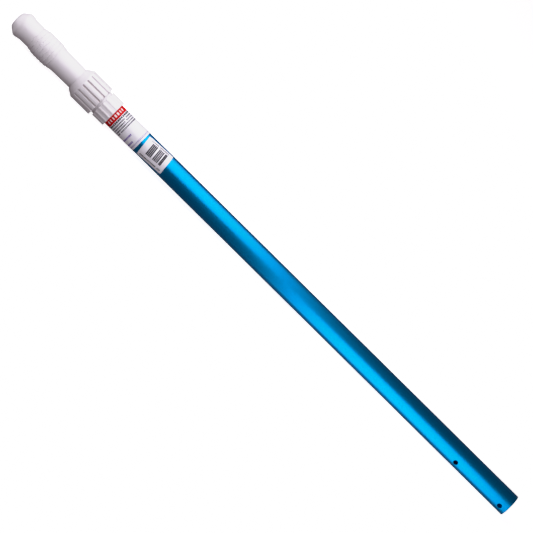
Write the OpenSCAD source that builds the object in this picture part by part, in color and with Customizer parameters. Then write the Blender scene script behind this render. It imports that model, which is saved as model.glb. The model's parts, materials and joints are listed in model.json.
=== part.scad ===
// Telescopic pole handle with a twist lock, for boat hook heads and other push-in heads.
// The pole lies along +X, +Z is up, and the origin is the centre of its open, holed end.

/* [Outer tube] */
// Length of the outer tube
outer_len = 746; // [560:1:1800]
// Outside diameter of the outer tube
outer_od = 31.75; // [25:0.05:44]
// Wall of the outer tube
outer_wall = 1.27; // [1:0.01:2.5]
// Depth of the sized socket that takes a head's shank
socket_len = 116; // [104:1:160]
// How much the socket is opened out, on the radius
socket_step = 0.2; // [0.16:0.01:0.4]
// Diameter of the clip holes
clip_hole_dia = 7; // [5:0.1:9]
// From the open end to the first clip hole
clip_hole_edge = 11; // [8:0.1:20]
// Spacing of the two pairs of clip holes
clip_hole_gap = 79.4; // [40:0.1:84]

/* [Inner tube] */
// Radial space between the two tubes, which the bush and the glide fill
tube_gap = 1.905; // [1.2:0.005:3.5]
// Wall of the inner tube
inner_wall = 1.27; // [0.9:0.01:2]
// From the end of the socket to the nose of the glide plug, with the pole closed
nose_gap = 4; // [1:0.5:20]
// Length of the glide plug's head
plug_head_len = 40; // [30:1:60]
// Length of the glide plug's spigot in the inner tube
spigot_len = 30; // [20:1:60]
// Wall of the hollow glide plug
plug_wall = 3; // [2:0.1:4]
// Length of the glide ring
ring_len = 8; // [5:0.5:12]
// Radial thickness of the glide ring
ring_thick = 1.65; // [1:0.05:2.5]
// Split in the glide ring
ring_split = 2; // [1:0.5:4]
// Diameter of the cross pin through the glide plug
plug_pin_dia = 4; // [2.5:0.1:6]

/* [Lock body] */
// How far the outer tube goes into the lock body
seat_len = 30.4; // [26:0.1:44]
// Length of the fluted collar
collar_len = 19.2; // [14:0.1:24]
// Wall of the collar over the outer tube
collar_wall = 3.63; // [3:0.01:5.5]
// Width of a flute on the collar
collar_flute_w = 6; // [3:0.1:7]
// Depth of the collar's flutes
collar_flute_depth = 0.7; // [0.3:0.05:1.2]
// Which way one flute of the collar faces, up from +Y
collar_flute_turn = 25.5; // [0:0.5:90]
// Length of the bare neck between the collar and the nut
neck_len = 3.8; // [2:0.1:8]
// Wall of the neck over the outer tube
neck_wall = 1.6; // [1.2:0.05:2.2]
// Wall of the threaded stretch over the outer tube, to the thread's crest
thread_wall = 2.4; // [2.2:0.05:3.5]
// Length of the taper that squeezes the collet
taper_len = 12; // [8:0.1:15]
// Wall of the lock body round the wide end of its taper
taper_wall = 1.2; // [0.8:0.05:1.6]

/* [Bush and collet] */
// Length of the bush inside the outer tube
bush_len = 56; // [30:1:90]
// Flange of the bush over the end of the outer tube
flange_len = 2; // [1:0.1:4]
// Ledge of the lock body over the bush
ledge_len = 2; // [1:0.1:4]
// Wall of the collet at its nose
collet_nose = 1.5; // [1:0.05:2.2]
// Length of the collet's plain head
collet_head_len = 4; // [2:0.1:8]
// How far the collet still has to go into its taper
collet_spare = 1; // [0.5:0.1:3]
// Number of slots in the collet
collet_slots = 6; // [4:1:10]
// Width of a collet slot
collet_slot_w = 1.6; // [0.8:0.1:2.5]
// Length of the slip ring
slip_len = 3; // [2:0.1:6]

/* [Lock nut] */
// Depth of the nut's mouth above its ledge
mouth_depth = 5.3; // [4:0.1:14]
// Length of the nut's smooth conical shoulder
shoulder_len = 9.2; // [6:0.1:12]
// Wall of the nut over its thread
nut_wall = 4; // [3:0.05:8]
// Length of the ledge in the nut that bears on the slip ring
nut_ledge_len = 4; // [2:0.1:6]
// Rim left round the nut's mouth at the top of its shoulder
mouth_rim = 0.6; // [0.4:0.05:2]
// Number of grooves in the nut, and of flutes on the collar
flute_count = 16; // [8:1:24]
// Which way one groove of the nut faces, up from +Y
groove_turn = 34; // [0:0.5:90]
// Width of a groove in the nut
nut_groove_w = 2.2; // [1:0.1:4]
// Depth of a groove in the nut
nut_groove_depth = 1.2; // [0.5:0.1:2]

/* [Grip] */
// Length of the grip
grip_len = 111.5; // [95:0.5:160]
// How far the grip's sleeve reaches into the nut
grip_entry = 2; // [1:0.1:4]
// Wall of the grip's sleeve at the nut
sleeve_wall = 2.9; // [2.2:0.05:4]
// Wall of the grip's sleeve below the swell
sleeve_top_wall = 3.4; // [2.2:0.05:4.5]
// Wall of the grip at its swell
swell_wall = 5.9; // [4:0.1:9]
// Wall of the grip at its waist
waist_wall = 3.6; // [2.5:0.1:6]
// Wall of the grip at the rim of its end
rim_wall = 5.5; // [4:0.1:9]
// Radius of the flat end face
tip_r = 9.6; // [5:0.1:12]
// Rounding of the end face's edge
tip_round = 1.6; // [0.5:0.1:3]
// Thickness of the closed end
tip_wall = 5; // [3:0.1:8]
// From the sleeve's end to the top of the sleeve
sleeve_top = 32.5; // [28:0.5:50]
// From the sleeve's end to the middle of the swell
swell_at = 56; // [45:0.5:85]
// Length of the full part of the swell
swell_len = 15; // [1:0.5:20]
// From the rim back to the end of the waist
waist_back = 12.3; // [8:0.1:20]
// Length of the waist
waist_len = 9; // [2:0.5:20]
// Length of the conical nose, from the rim to the flat face
nose_len = 10.7; // [6:0.1:16]

/* [Screws and labels] */
// Diameter of the two fixing screws
screw_dia = 3.2; // [2:0.1:4]
// Diameter of their countersunk heads
screw_head_dia = 6; // [4.5:0.1:7.5]
// How far the heads lie below the surface
screw_sink = 0.3; // [0.1:0.05:0.5]
// From the collar's open edge to its screw
collar_screw_at = 9.6; // [5:0.1:14]
// From the sleeve's end to the grip's screw
grip_screw_at = 16.5; // [9:0.5:30]
// Thickness of the printed films
film = 0.12; // [0.08:0.01:0.3]
// Length of the label wrapped round the outer tube
label_len = 50; // [20:1:90]
// Length of the code sticker
sticker_len = 40; // [20:1:60]
// Width of the code sticker round the tube
sticker_w = 33; // [15:1:60]
// Bare tube between the label and the code sticker
sticker_gap = 4.5; // [1:0.5:30]
// Where the sticker's middle is turned to, up from +Y
sticker_turn = 36; // [-180:1:180]

/* [Clearances] */
// Radial running clearance of the inner tube in its bush and collet
run_gap = 0.1; // [0.05:0.01:0.1]
// Radial running clearance of the glide ring in the outer tube
ring_gap = 0.055; // [0.02:0.005:0.1]
// Clearance between moving parts that only pass each other
free_gap = 0.3; // [0.2:0.05:0.4]
// Gap between faces that press on each other when the lock is tight
face_gap = 0.1; // [0.05:0.01:0.2]
// Radial clearance of the nut's mouth round the grip
mouth_gap = 0.6; // [0.4:0.05:1]

/* [Hidden] */
$fn = 96;
over = 1;           // how far a cutting shape passes the face that it cuts
blend_steps = 12;   // points on each curved stretch of the grip

// Radii, from the outside in
outer_r = outer_od / 2;
bore_r = outer_r - outer_wall;
socket_r = bore_r + socket_step;
inner_r = bore_r - tube_gap;
inner_bore_r = inner_r - inner_wall;
collar_r = outer_r + collar_wall;
neck_r = outer_r + neck_wall;
thread_r = outer_r + thread_wall;
nut_bore_r = thread_r + free_gap;
nut_r = nut_bore_r + nut_wall;
sleeve_r = inner_r + sleeve_wall;
mouth_r = sleeve_r + mouth_gap;
pass_r = inner_r + 2 * free_gap;     // bores that the inner tube only passes through
slip_r = nut_bore_r - 2 * free_gap;
running_r = inner_r + run_gap;
taper_low_r = running_r + collet_nose;
taper_high_r = thread_r - taper_wall;
head_r = bore_r - free_gap;
ring_r = bore_r - ring_gap;
groove_r = ring_r - ring_thick - free_gap;

// Places along the pole, from the open end
collar_x = outer_len - seat_len;
neck_x = collar_x + collar_len;
nut_x = neck_x + neck_len;
ledge_x = outer_len + flange_len;
taper_x = ledge_x + ledge_len;
body_end = taper_x + taper_len;
collet_x = taper_x + collet_spare;
collet_head_x = body_end + collet_spare;
slip_x = collet_head_x + collet_head_len + face_gap;
nut_ledge_x = slip_x + slip_len + face_gap;
mouth_x = nut_ledge_x + nut_ledge_len;
nut_end = mouth_x + mouth_depth;
grip_x = nut_end - grip_entry;
grip_end = grip_x + grip_len;
plug_x = socket_len + nose_gap;
inner_x = plug_x + plug_head_len;
inner_end = grip_end - tip_wall;
label_x = collar_x - label_len;
sticker_x = label_x - sticker_gap - sticker_len;

// Screws and pin: where a head or a hole stands
collar_screw_head = collar_r - collar_flute_depth - screw_sink;
grip_screw_head = sleeve_r - screw_sink;
plug_pin_x = inner_x + spigot_len / 2;
plug_pin_half = sqrt(pow(inner_r, 2) - pow(plug_pin_dia / 2, 2));

taper_slope = (taper_high_r - taper_low_r) / taper_len;
sticker_angle = sticker_w / (outer_r + film) * 180 / PI;

// Radius of the lock body's taper at a place along the pole
function taper_r(x) = taper_low_r + (x - taper_x) * taper_slope;

// Points that ease from one radius to another along the axis
function eased(from, to) = [for (i = [1 : blend_steps])
    [lerp(from[0], to[0], (1 - cos(180 * i / blend_steps)) / 2),
        lerp(from[1], to[1], i / blend_steps)]];
function lerp(a, b, t) = a + (b - a) * t;

// A quarter round between two points of an outline
function rounded(from, to) = [for (i = [1 : blend_steps])
    [to[0] + (from[0] - to[0]) * cos(90 * i / blend_steps),
        from[1] + (to[1] - from[1]) * sin(90 * i / blend_steps)]];

// Stands a shape that was drawn round Z along the pole, from x
module along(x) {
    translate([x, 0, 0])
        rotate([0, 90, 0])
            children();
}

module rod(x, length, r) {
    along(x)
        cylinder(h = length, r = r);
}

// A round wall with a clear bore
module sleeve(x, length, r, hole_r) {
    difference() {
        rod(x, length, r);
        rod(x - over, length + 2 * over, hole_r);
    }
}

// A cone frustum along the pole
module taper(x, length, r_from, r_to) {
    along(x)
        cylinder(h = length, r1 = r_from, r2 = r_to);
}

// The same cut, turned all round the pole
module all_round(count, turn) {
    for (i = [0 : count - 1])
        rotate([turn + i * 360 / count, 0, 0])
            children();
}

module cross_bore(x, r, half_length) {
    translate([x, 0, 0])
        rotate([90, 0, 0])
            cylinder(h = 2 * half_length, r = r, center = true);
}

// A countersunk screw on the side away from +Y, from its head in to its tip
module screw_shape(x, head_at, tip_at) {
    head_depth = (screw_head_dia - screw_dia) / 2;
    translate([x, -head_at, 0])
        rotate([-90, 0, 0]) {
            cylinder(h = head_at - tip_at, d = screw_dia);
            cylinder(h = head_depth, d1 = screw_head_dia, d2 = screw_dia);
        }
}

// The hole for it, open above the head
module screw_hole(x, head_at, tip_at) {
    screw_shape(x, head_at, tip_at);
    translate([x, -head_at, 0])
        rotate([90, 0, 0])
            cylinder(h = screw_head_dia, d = screw_head_dia);
}

module collar_screw_hole() {
    screw_hole(collar_x + collar_screw_at, collar_screw_head, bore_r);
}

module grip_screw_hole() {
    screw_hole(grip_x + grip_screw_at, grip_screw_head, inner_bore_r);
}

module plug_pin_hole() {
    translate([plug_pin_x, 0, 0])
        cylinder(h = 2 * plug_pin_half, d = plug_pin_dia, center = true);
}

// Outer tube: plain drawn tube, sized at its open end and drilled for the spring clip
module outer_tube() {
    color("deepskyblue")
        difference() {
            sleeve(0, outer_len, outer_r, bore_r);
            rod(-over, socket_len + over, socket_r);
            for (i = [0, 1])
                cross_bore(clip_hole_edge + i * clip_hole_gap, clip_hole_dia / 2, outer_r + over);
            collar_screw_hole();
        }
}

// Lock body: fluted collar, neck and thread in one moulding, with the taper inside
module lock_body() {
    flute_r = pow(collar_flute_w, 2) / (8 * collar_flute_depth) + collar_flute_depth / 2;
    color("whitesmoke")
        difference() {
            union() {
                rod(collar_x, collar_len, collar_r);
                rod(neck_x - over, neck_len + 2 * over, neck_r);
                rod(nut_x, body_end - nut_x, thread_r);
            }
            rod(collar_x - over, ledge_x - collar_x + over, outer_r);
            rod(ledge_x - over, ledge_len + 2 * over, pass_r);
            taper(taper_x, taper_len + over, taper_low_r, taper_r(body_end + over));
            all_round(flute_count, collar_flute_turn)
                translate([0, collar_r - collar_flute_depth + flute_r, 0])
                    rod(collar_x - over, collar_len + over, flute_r);
            collar_screw_hole();
        }
}

module collar_screw() {
    color("silver")
        screw_shape(collar_x + collar_screw_at, collar_screw_head, bore_r);
}

// Mouth bush: flanged liner that guides the inner tube
module mouth_bush() {
    color("ivory")
        difference() {
            union() {
                rod(outer_len - bush_len, bush_len + over, bore_r);
                rod(outer_len, flange_len, outer_r);
            }
            rod(outer_len - bush_len - over, bush_len + flange_len + 2 * over, running_r);
        }
}

// Split collet: slotted cone that the nut pushes into the taper
module split_collet() {
    slot_len = collet_head_x - collet_x;
    color("dimgray")
        difference() {
            union() {
                taper(collet_x, slot_len, taper_r(collet_x), taper_r(collet_head_x));
                rod(collet_head_x, collet_head_len, taper_r(collet_head_x));
            }
            rod(collet_x - over, slot_len + collet_head_len + 2 * over, running_r);
            all_round(collet_slots, 0)
                translate([collet_x - over, 0, -collet_slot_w / 2])
                    cube([slot_len + over, nut_r, collet_slot_w]);
        }
}

// Slip ring: goes in and out with the nut, but doesn't turn with it
module slip_ring() {
    color("lightgray")
        sleeve(slip_x, slip_len, slip_r, pass_r);
}

// Lock nut: grooved grip outside, thread inside, and a ledge that bears on the slip ring
module lock_nut() {
    shoulder_x = nut_end - shoulder_len;
    color("white")
        difference() {
            union() {
                rod(nut_x, shoulder_x - nut_x, nut_r);
                taper(shoulder_x, shoulder_len, nut_r, mouth_r + mouth_rim);
            }
            rod(nut_x - over, nut_ledge_x - nut_x + over, nut_bore_r);
            rod(nut_ledge_x - over, nut_ledge_len + 2 * over, pass_r);
            rod(mouth_x, mouth_depth + over, mouth_r);
            all_round(flute_count, groove_turn)
                translate([nut_x - over, nut_r - nut_groove_depth, -nut_groove_w / 2])
                    cube([shoulder_x - nut_x, nut_groove_depth + over, nut_groove_w]);
        }
}

module inner_tube() {
    color("steelblue")
        difference() {
            sleeve(inner_x, inner_end - inner_x, inner_r, inner_bore_r);
            plug_pin_hole();
            grip_screw_hole();
        }
}

// Glide plug: head that runs in the outer tube, on a spigot in the inner tube
module glide_plug() {
    groove_len = ring_len + 2 * free_gap;
    groove_x = plug_x + (plug_head_len - groove_len) / 2;
    color("ivory")
        difference() {
            union() {
                rod(plug_x, plug_head_len, head_r);
                rod(inner_x - over, spigot_len + over, inner_bore_r);
            }
            rod(plug_x - over, plug_head_len + spigot_len - plug_wall + over, inner_bore_r - plug_wall);
            sleeve(groove_x, groove_len, bore_r, groove_r);
            plug_pin_hole();
        }
}

// Glide ring: split ring in the plug's groove
module glide_ring() {
    ring_x = plug_x + (plug_head_len - ring_len) / 2;
    color("white")
        difference() {
            sleeve(ring_x, ring_len, ring_r, ring_r - ring_thick);
            translate([ring_x - over, 0, -ring_split / 2])
                cube([ring_len + 2 * over, bore_r, ring_split]);
        }
}

module plug_pin() {
    color("silver")
        plug_pin_hole();
}

// Grip: moulded sleeve with a swell, a waist and a closed, rimmed end
module grip() {
    swell_r = inner_r + swell_wall;
    waist_r = inner_r + waist_wall;
    rim_r = inner_r + rim_wall;
    rim_at = grip_len - nose_len;
    waist_end = rim_at - waist_back;
    sleeve_end = [sleeve_r, 0];
    sleeve_high = [inner_r + sleeve_top_wall, sleeve_top];
    swell_low = [swell_r, swell_at - swell_len / 2];
    swell_high = [swell_r, swell_at + swell_len / 2];
    waist_low = [waist_r, waist_end - waist_len];
    waist_high = [waist_r, waist_end];
    rim = [rim_r, rim_at];
    tip_edge = [tip_r + tip_round, grip_len - tip_round];
    color("white")
        difference() {
            along(grip_x)
                rotate_extrude()
                    polygon(concat(
                        [[0, 0], sleeve_end, sleeve_high],
                        eased(sleeve_high, swell_low),
                        eased(swell_high, waist_low),
                        eased(waist_high, rim),
                        [tip_edge],
                        rounded(tip_edge, [tip_r, grip_len]),
                        [[0, grip_len]]));
            rod(grip_x - over, inner_end - grip_x + over, inner_r);
            grip_screw_hole();
        }
}

module grip_screw() {
    color("silver")
        screw_shape(grip_x + grip_screw_at, grip_screw_head, inner_bore_r);
}

// Wrap label: printed film all round the tube, against the collar
module wrap_label() {
    color("snow")
        sleeve(label_x, label_len, outer_r + film, outer_r);
}

// Code sticker: printed film on one side of the tube
module code_sticker() {
    color("snow")
        along(sticker_x)
            rotate([0, 0, 90 + sticker_turn - sticker_angle / 2])
                rotate_extrude(angle = sticker_angle)
                    translate([outer_r, 0])
                        square([film, sticker_len]);
}

outer_tube();
lock_body();
collar_screw();
mouth_bush();
split_collet();
slip_ring();
lock_nut();
inner_tube();
glide_plug();
glide_ring();
plug_pin();
grip();
grip_screw();
wrap_label();
code_sticker();
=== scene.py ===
import bmesh
import bpy
import json
import math
from mathutils import Matrix, Vector


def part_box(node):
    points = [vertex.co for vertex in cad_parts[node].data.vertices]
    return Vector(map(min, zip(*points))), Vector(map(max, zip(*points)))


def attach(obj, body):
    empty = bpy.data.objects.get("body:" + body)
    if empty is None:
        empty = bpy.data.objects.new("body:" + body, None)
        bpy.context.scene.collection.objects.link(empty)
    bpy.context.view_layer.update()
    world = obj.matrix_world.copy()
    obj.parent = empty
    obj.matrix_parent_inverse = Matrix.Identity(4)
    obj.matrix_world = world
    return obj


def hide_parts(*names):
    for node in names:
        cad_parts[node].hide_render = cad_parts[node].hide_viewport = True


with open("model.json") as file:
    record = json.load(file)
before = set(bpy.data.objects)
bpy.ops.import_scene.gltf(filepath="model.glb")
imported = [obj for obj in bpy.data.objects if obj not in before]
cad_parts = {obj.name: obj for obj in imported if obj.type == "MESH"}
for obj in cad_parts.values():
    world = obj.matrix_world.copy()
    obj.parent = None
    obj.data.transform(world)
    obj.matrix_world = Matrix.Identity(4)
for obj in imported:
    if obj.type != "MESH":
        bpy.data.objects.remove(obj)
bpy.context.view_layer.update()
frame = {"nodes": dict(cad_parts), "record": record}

# A telescopic pole handle: blue anodised tubes, a white twist lock and grip, two printed films.
# The pole lies along +X, +Z is up, and the origin is the middle of the open, drilled end.
# Angles round the pole are in degrees up from +Y.

mm = 0.001
viewSide = 36.5  # the side that carries the printing and the clip holes


def hexColour(code):  # sRGB hex to linear
    parts = [int(code[i:i + 2], 16) / 255 for i in (1, 3, 5)]
    return [c / 12.92 if c <= 0.04045 else ((c + 0.055) / 1.055) ** 2.4 for c in parts] + [1]


def addNode(tree, kind, links=None, **settings):  # adds a node and gives its first output
    node = tree.nodes.new(kind)
    for name, value in settings.items():
        setattr(node, name, value)
    for name, value in (links or {}).items():
        if isinstance(value, bpy.types.NodeSocket):
            tree.links.new(value, node.inputs[name])
        else:
            node.inputs[name].default_value = value
    return node.outputs[0]


# sizes that the frame gives


def endsOf(node):
    low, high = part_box(node)
    return low.x, high.x


def radiusOf(node):
    low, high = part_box(node)
    return (high.z - low.z) / 2


tubeStart, tubeEnd = endsOf("outer_tube")
bodyStart, bodyEnd = endsOf("lock_body")
nutStart, nutEnd = endsOf("lock_nut")
innerStart, innerEnd = endsOf("inner_tube")
gripStart, gripEnd = endsOf("grip")
wrapStart, wrapEnd = endsOf("wrap_label")
codeStart, codeEnd = endsOf("code_sticker")
pinMiddle = sum(endsOf("plug_pin")) / 2
tubeR = radiusOf("outer_tube")
innerR = radiusOf("inner_tube")
nutR = radiusOf("lock_nut")
filmR = radiusOf("wrap_label")
mounts = {mount["name"]: mount for mount in frame["record"]["mounts"]}
socketR = mounts["head_socket"]["dims"]["r_mm"] * mm
socketDepth = mounts["head_socket"]["dims"]["length_mm"] * mm
clipHoles = [mounts["clip_hole_near"], mounts["clip_hole_far"]]

print("stage 1: sizes read")


def startMaterial(name, colour, metallic=0.0, roughness=0.5, ior=None):
    material = bpy.data.materials.new(name)
    material.use_nodes = True
    tree = material.node_tree
    shader = tree.nodes["Principled BSDF"]
    shader.inputs["Base Color"].default_value = hexColour(colour)
    shader.inputs["Metallic"].default_value = metallic
    shader.inputs["Roughness"].default_value = roughness
    if ior:
        shader.inputs["IOR"].default_value = ior
    return material, tree, shader.inputs


# Bright blue anodised aluminium, drawn tube. The dye sits in the oxide, so the tube reflects like
# metal but in blue; drawing leaves lines along it that stretch each highlight round the tube.
blueLook = {
    "dye": "#0099D8",
    "deepDye": "#0092D2",
    "roughness": (0.34, 0.42),
    # the real lines are about 0.1 mm apart, drawn coarser so that they show
    "lineSpacing": 1.1 * mm,
    "lineLength": 160 * mm,
    "lineDepth": 0.004 * mm,
    "dyePatch": 70 * mm,
    # caustic etch before anodising, about 0.1 mm, drawn coarser so that it shows
    "etchGrain": 1.6 * mm,
    "etchDepth": 0.003 * mm,
    "etchTone": (0.94, 1.06),
}
blueAnodised, tree, surface = startMaterial("blue anodised drawn aluminium",
    blueLook["dye"], 1.0, 0.33)
place = addNode(tree, "ShaderNodeTexCoord").node.outputs["Object"]
across = 1 / blueLook["lineSpacing"]
stretched = addNode(tree, "ShaderNodeMapping",
    {"Vector": place, "Scale": (1 / blueLook["lineLength"], across, across)})
lines = addNode(tree, "ShaderNodeTexNoise",
    {"Vector": stretched, "Scale": 1.0, "Detail": 3.0, "Roughness": 0.6})
patches = addNode(tree, "ShaderNodeTexNoise",
    {"Vector": place, "Scale": 1 / blueLook["dyePatch"], "Detail": 2.0})
grain = addNode(tree, "ShaderNodeTexNoise",
    {"Vector": place, "Scale": 1 / blueLook["etchGrain"], "Detail": 1.0})
dye = addNode(tree, "ShaderNodeMixRGB",
    {"Fac": patches, "Color1": hexColour(blueLook["dye"]),
    "Color2": hexColour(blueLook["deepDye"])})
low, high = blueLook["etchTone"]
tone = addNode(tree, "ShaderNodeMapRange",
    {"Value": grain, "From Min": 0.3, "From Max": 0.7, "To Min": low, "To Max": high})
speckled = addNode(tree, "ShaderNodeHueSaturation", {"Color": dye, "Value": tone})
tree.links.new(speckled, surface["Base Color"])
low, high = blueLook["roughness"]
dull = addNode(tree, "ShaderNodeMapRange",
    {"Value": lines, "From Min": 0.3, "From Max": 0.7, "To Min": low, "To Max": high})
tree.links.new(dull, surface["Roughness"])
etched = addNode(tree, "ShaderNodeBump",
    {"Height": grain, "Strength": 0.25, "Distance": blueLook["etchDepth"]})
drawn = addNode(tree, "ShaderNodeBump",
    {"Height": lines, "Strength": 0.5, "Distance": blueLook["lineDepth"], "Normal": etched})
tree.links.new(drawn, surface["Normal"])

# White ABS, injection moulded in a lightly spark-eroded tool: near-white, a soft gloss that is
# broken up by the fine skin of the tool, and slightly duller patches where the melt met.
absLook = {
    "white": "#EAE7EC",
    "flowTint": "#E2DFE0",
    "roughness": (0.30, 0.42),
    "skinGrain": 0.8 * mm,  # the real texture is about 0.2 mm, drawn coarser so that it shows
    "skinDepth": 0.012 * mm,
    "flowPatch": 18 * mm,
}
whiteAbs, tree, surface = startMaterial("white moulded ABS", absLook["white"], 0.0, 0.36, 1.53)
place = addNode(tree, "ShaderNodeTexCoord").node.outputs["Object"]
flow = addNode(tree, "ShaderNodeTexNoise",
    {"Vector": place, "Scale": 1 / absLook["flowPatch"], "Detail": 3.0})
skin = addNode(tree, "ShaderNodeTexNoise",
    {"Vector": place, "Scale": 1 / absLook["skinGrain"], "Detail": 2.0, "Roughness": 0.6})
tint = addNode(tree, "ShaderNodeMixRGB",
    {"Fac": flow, "Color1": hexColour(absLook["white"]), "Color2": hexColour(absLook["flowTint"])})
tree.links.new(tint, surface["Base Color"])
low, high = absLook["roughness"]
dull = addNode(tree, "ShaderNodeMapRange",
    {"Value": flow, "From Min": 0.3, "From Max": 0.7, "To Min": low, "To Max": high})
tree.links.new(dull, surface["Roughness"])
pitted = addNode(tree, "ShaderNodeBump",
    {"Height": skin, "Strength": 0.35, "Distance": absLook["skinDepth"]})
tree.links.new(pitted, surface["Normal"])

# The nut's ABS: the same moulding, with painted shade in the bottom of its grooves, a pale
# grey-brown that makes each groove read darker than its ribs.
grooveShadeLook = {
    # the colour of the painted shade in the grooves
    "dust": "#B2A4A4",
    "deep": 2.3 * mm,  # full cover this far below the ribs
    "shallow": 1.3 * mm,  # and none above this
    "until": 10.4 * mm,  # how far from the nut's end the grooves stop
    "patch": 4 * mm,
}
grooveShadedAbs = whiteAbs.copy()
grooveShadedAbs.name = "white moulded ABS, dusty grooves"
tree = grooveShadedAbs.node_tree
surface = tree.nodes["Principled BSDF"].inputs
clean = surface["Base Color"].links[0].from_socket
place = addNode(tree, "ShaderNodeTexCoord").node.outputs["Object"]
x, y, z = addNode(tree, "ShaderNodeSeparateXYZ", {0: place}).node.outputs
flat = addNode(tree, "ShaderNodeCombineXYZ", {"Y": y, "Z": z})
reach = addNode(tree, "ShaderNodeVectorMath", {0: flat}, operation="LENGTH").node.outputs["Value"]
low = addNode(tree, "ShaderNodeMapRange",
    {"Value": reach, "From Min": nutR - grooveShadeLook["deep"], "From Max": nutR - grooveShadeLook["shallow"],
    "To Min": 1.0, "To Max": 0.0})
grooved = addNode(tree, "ShaderNodeMath", {0: x, 1: nutEnd - grooveShadeLook["until"]},
    operation="LESS_THAN")
patchy = addNode(tree, "ShaderNodeTexNoise",
    {"Vector": place, "Scale": 1 / grooveShadeLook["patch"], "Detail": 2.0})
held = addNode(tree, "ShaderNodeMapRange",
    {"Value": patchy, "From Min": 0.3, "From Max": 0.7, "To Min": 0.7, "To Max": 1.0})
cover = addNode(tree, "ShaderNodeMath", {0: low, 1: grooved}, operation="MULTIPLY")
cover = addNode(tree, "ShaderNodeMath", {0: cover, 1: held}, operation="MULTIPLY")
# painted shade: the groove bottoms are mixed toward a darker grey-brown
shadedGrooves = addNode(tree, "ShaderNodeMixRGB",
    {"Fac": cover, "Color1": clean, "Color2": hexColour(grooveShadeLook["dust"])})
tree.links.new(shadedGrooves, surface["Base Color"])

# White vinyl label film, calendered and gloss coated: smoother and cooler than the mouldings,
# with a slow ripple from being smoothed on by hand.
vinylLook = {"white": "#F0EFF4", "aged": "#E6E5EC", "ripple": 9 * mm, "rippleDepth": 0.02 * mm}
whiteVinyl, tree, surface = startMaterial("white vinyl label film", vinylLook["white"],
    0.0, 0.28, 1.54)
place = addNode(tree, "ShaderNodeTexCoord").node.outputs["Object"]
ripple = addNode(tree, "ShaderNodeTexNoise",
    {"Vector": place, "Scale": 1 / vinylLook["ripple"], "Detail": 1.0})
tint = addNode(tree, "ShaderNodeMixRGB",
    {"Fac": ripple, "Color1": hexColour(vinylLook["white"]),
    "Color2": hexColour(vinylLook["aged"])})
tree.links.new(tint, surface["Base Color"])
rippled = addNode(tree, "ShaderNodeBump",
    {"Height": ripple, "Strength": 0.3, "Distance": vinylLook["rippleDepth"]})
tree.links.new(rippled, surface["Normal"])


# Screen printing inks: a matt layer on the gloss film, thin enough that its cover varies a little.
inkGrain = 1.2 * mm  # the real unevenness is about 0.3 mm, drawn coarser so that it shows
inkColours = {  # full cover, thin cover
    "red screen ink": ("#D00006", "#B80005"),
    "black screen ink": ("#17151D", "#2A2832"),
    "violet screen ink": ("#6248A0", "#7C66B0"),
    "white screen ink": ("#F2E4E4", "#E8D2D4"),
}
inks = {}
for name, (full, thin) in inkColours.items():
    inks[name], tree, surface = startMaterial(name, full, 0.0, 0.6, 1.5)
    surface["Specular IOR Level"].default_value = 0.1
    place = addNode(tree, "ShaderNodeTexCoord").node.outputs["Object"]
    cover = addNode(tree, "ShaderNodeTexNoise",
        {"Vector": place, "Scale": 1 / inkGrain, "Detail": 2.0})
    tint = addNode(tree, "ShaderNodeMixRGB",
        {"Fac": cover, "Color1": hexColour(full), "Color2": hexColour(thin)})
    tree.links.new(tint, surface["Base Color"])

# Natural nylon 66, moulded: warm off-white, waxy and nearly matt, a little deeper where thick.
nylonLook = {"thin": "#E8E3D0", "thick": "#D8D0B6", "cloud": 6 * mm, "cloudDepth": 0.02 * mm}
naturalNylon, tree, surface = startMaterial("natural moulded nylon", nylonLook["thin"],
    0.0, 0.52, 1.53)
place = addNode(tree, "ShaderNodeTexCoord").node.outputs["Object"]
cloud = addNode(tree, "ShaderNodeTexNoise",
    {"Vector": place, "Scale": 1 / nylonLook["cloud"], "Detail": 3.0})
tint = addNode(tree, "ShaderNodeMixRGB",
    {"Fac": cloud, "Color1": hexColour(nylonLook["thin"]), "Color2": hexColour(nylonLook["thick"])})
tree.links.new(tint, surface["Base Color"])
waxy = addNode(tree, "ShaderNodeBump",
    {"Height": cloud, "Strength": 0.2, "Distance": nylonLook["cloudDepth"]})
tree.links.new(waxy, surface["Normal"])

# Dark grey acetal, machined from bar: dull, with fine rings left by the lathe.
acetalLook = {
    "dark": "#303136",
    "pale": "#3B3C42",
    "feed": 0.4 * mm,  # the real rings are about 0.1 mm apart, drawn coarser so that they show
    "feedDepth": 0.01 * mm,
}
greyAcetal, tree, surface = startMaterial("dark grey machined acetal", acetalLook["dark"],
    0.0, 0.45, 1.48)
place = addNode(tree, "ShaderNodeTexCoord").node.outputs["Object"]
rings = addNode(tree, "ShaderNodeTexWave",
    {"Vector": place, "Scale": 1 / (2 * math.pi * acetalLook["feed"]), "Distortion": 0.4},
    bands_direction="X")
tint = addNode(tree, "ShaderNodeMixRGB",
    {"Fac": rings, "Color1": hexColour(acetalLook["dark"]),
    "Color2": hexColour(acetalLook["pale"])})
tree.links.new(tint, surface["Base Color"])
turned = addNode(tree, "ShaderNodeBump",
    {"Height": rings, "Strength": 0.2, "Distance": acetalLook["feedDepth"]})
tree.links.new(turned, surface["Normal"])

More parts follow.
